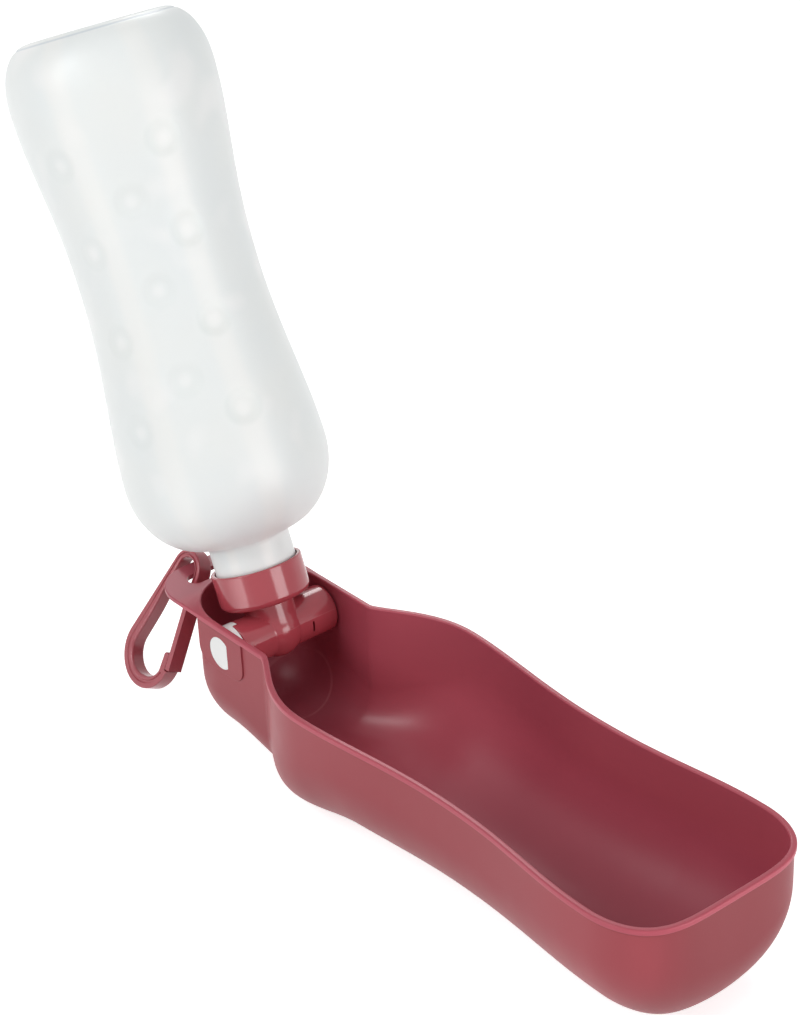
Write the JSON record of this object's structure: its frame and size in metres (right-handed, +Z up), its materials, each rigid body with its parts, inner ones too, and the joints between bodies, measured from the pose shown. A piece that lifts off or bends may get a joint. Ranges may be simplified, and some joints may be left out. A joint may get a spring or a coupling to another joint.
{
  "type": "dog travel water bottle",
  "caption": "Squeeze bottle that folds up out of its own drinking trough on a hollow pivot, with a carry clip on the trough's tab",
  "frame": {"origin": "on the trough's flat underside, straight below the pivot axis and midway between the head's two walls", "axes": "+X from the pivot towards the trough's far end, +Y along the pivot, +Z up out of the trough"},
  "size_m": [0.3328, 0.0782, 0.2507],
  "materials": {
    "trough_plastic": "moulded satin, dull maroon",
    "bottle_plastic": "milky translucent, soft and blow moulded",
    "cap_plastic": "glossy maroon",
    "valve_plastic": "white, smooth",
    "seal_rubber": "smooth black",
    "washer_rubber": "white silicone",
    "clip_plastic": "moulded satin, dark maroon"
  },
  "bodies": {
    "trough": {"trough": "trough_plastic", "valve_core": "valve_plastic", "seal_ring_near": "seal_rubber", "seal_ring_far": "seal_rubber"},
    "connector": {"connector": "cap_plastic"},
    "washer": {"neck_washer": "washer_rubber"},
    "bottle": {"bottle": "bottle_plastic"},
    "clip": {"clip_body": "clip_plastic"},
    "clip_arm": {"clip_arm": "clip_plastic"}
  },
  "joints": [
    {"name": "bottle_fold", "type": "hinge", "parent": "trough", "child": "connector", "pos_m": [0, 0, 0.0386], "axis": [0, 1, 0], "range_deg": [0, 110]},
    {"name": "washer_lift", "type": "slide", "parent": "connector", "child": "washer", "axis": [-0.3649, 0, 0.9311], "range_m": [0, 0.0021]},
    {"name": "bottle_unscrew", "type": "hinge", "parent": "washer", "child": "bottle", "pos_m": [0, 0, 0.0386], "axis": [-0.3649, 0, 0.9311], "range_deg": [0, 360]},
    {"name": "clip_swing", "type": "hinge", "parent": "trough", "child": "clip", "pos_m": [-0.0396, -0.0073, 0.0485], "axis": [0, 0.891, -0.454], "range_deg": [-3, 95]},
    {"name": "clip_gate", "type": "hinge", "parent": "clip", "child": "clip_arm", "pos_m": [-0.0336, -0.01048, 0.04226], "axis": [0, -0.891, 0.454], "range_deg": [0, 14], "stiffness_Nm_per_rad": 0.05}
  ],
  "couplings": [
    {"joint": "washer_lift", "follows": "bottle_unscrew", "m_per_rad": 0.00031831}
  ]
}
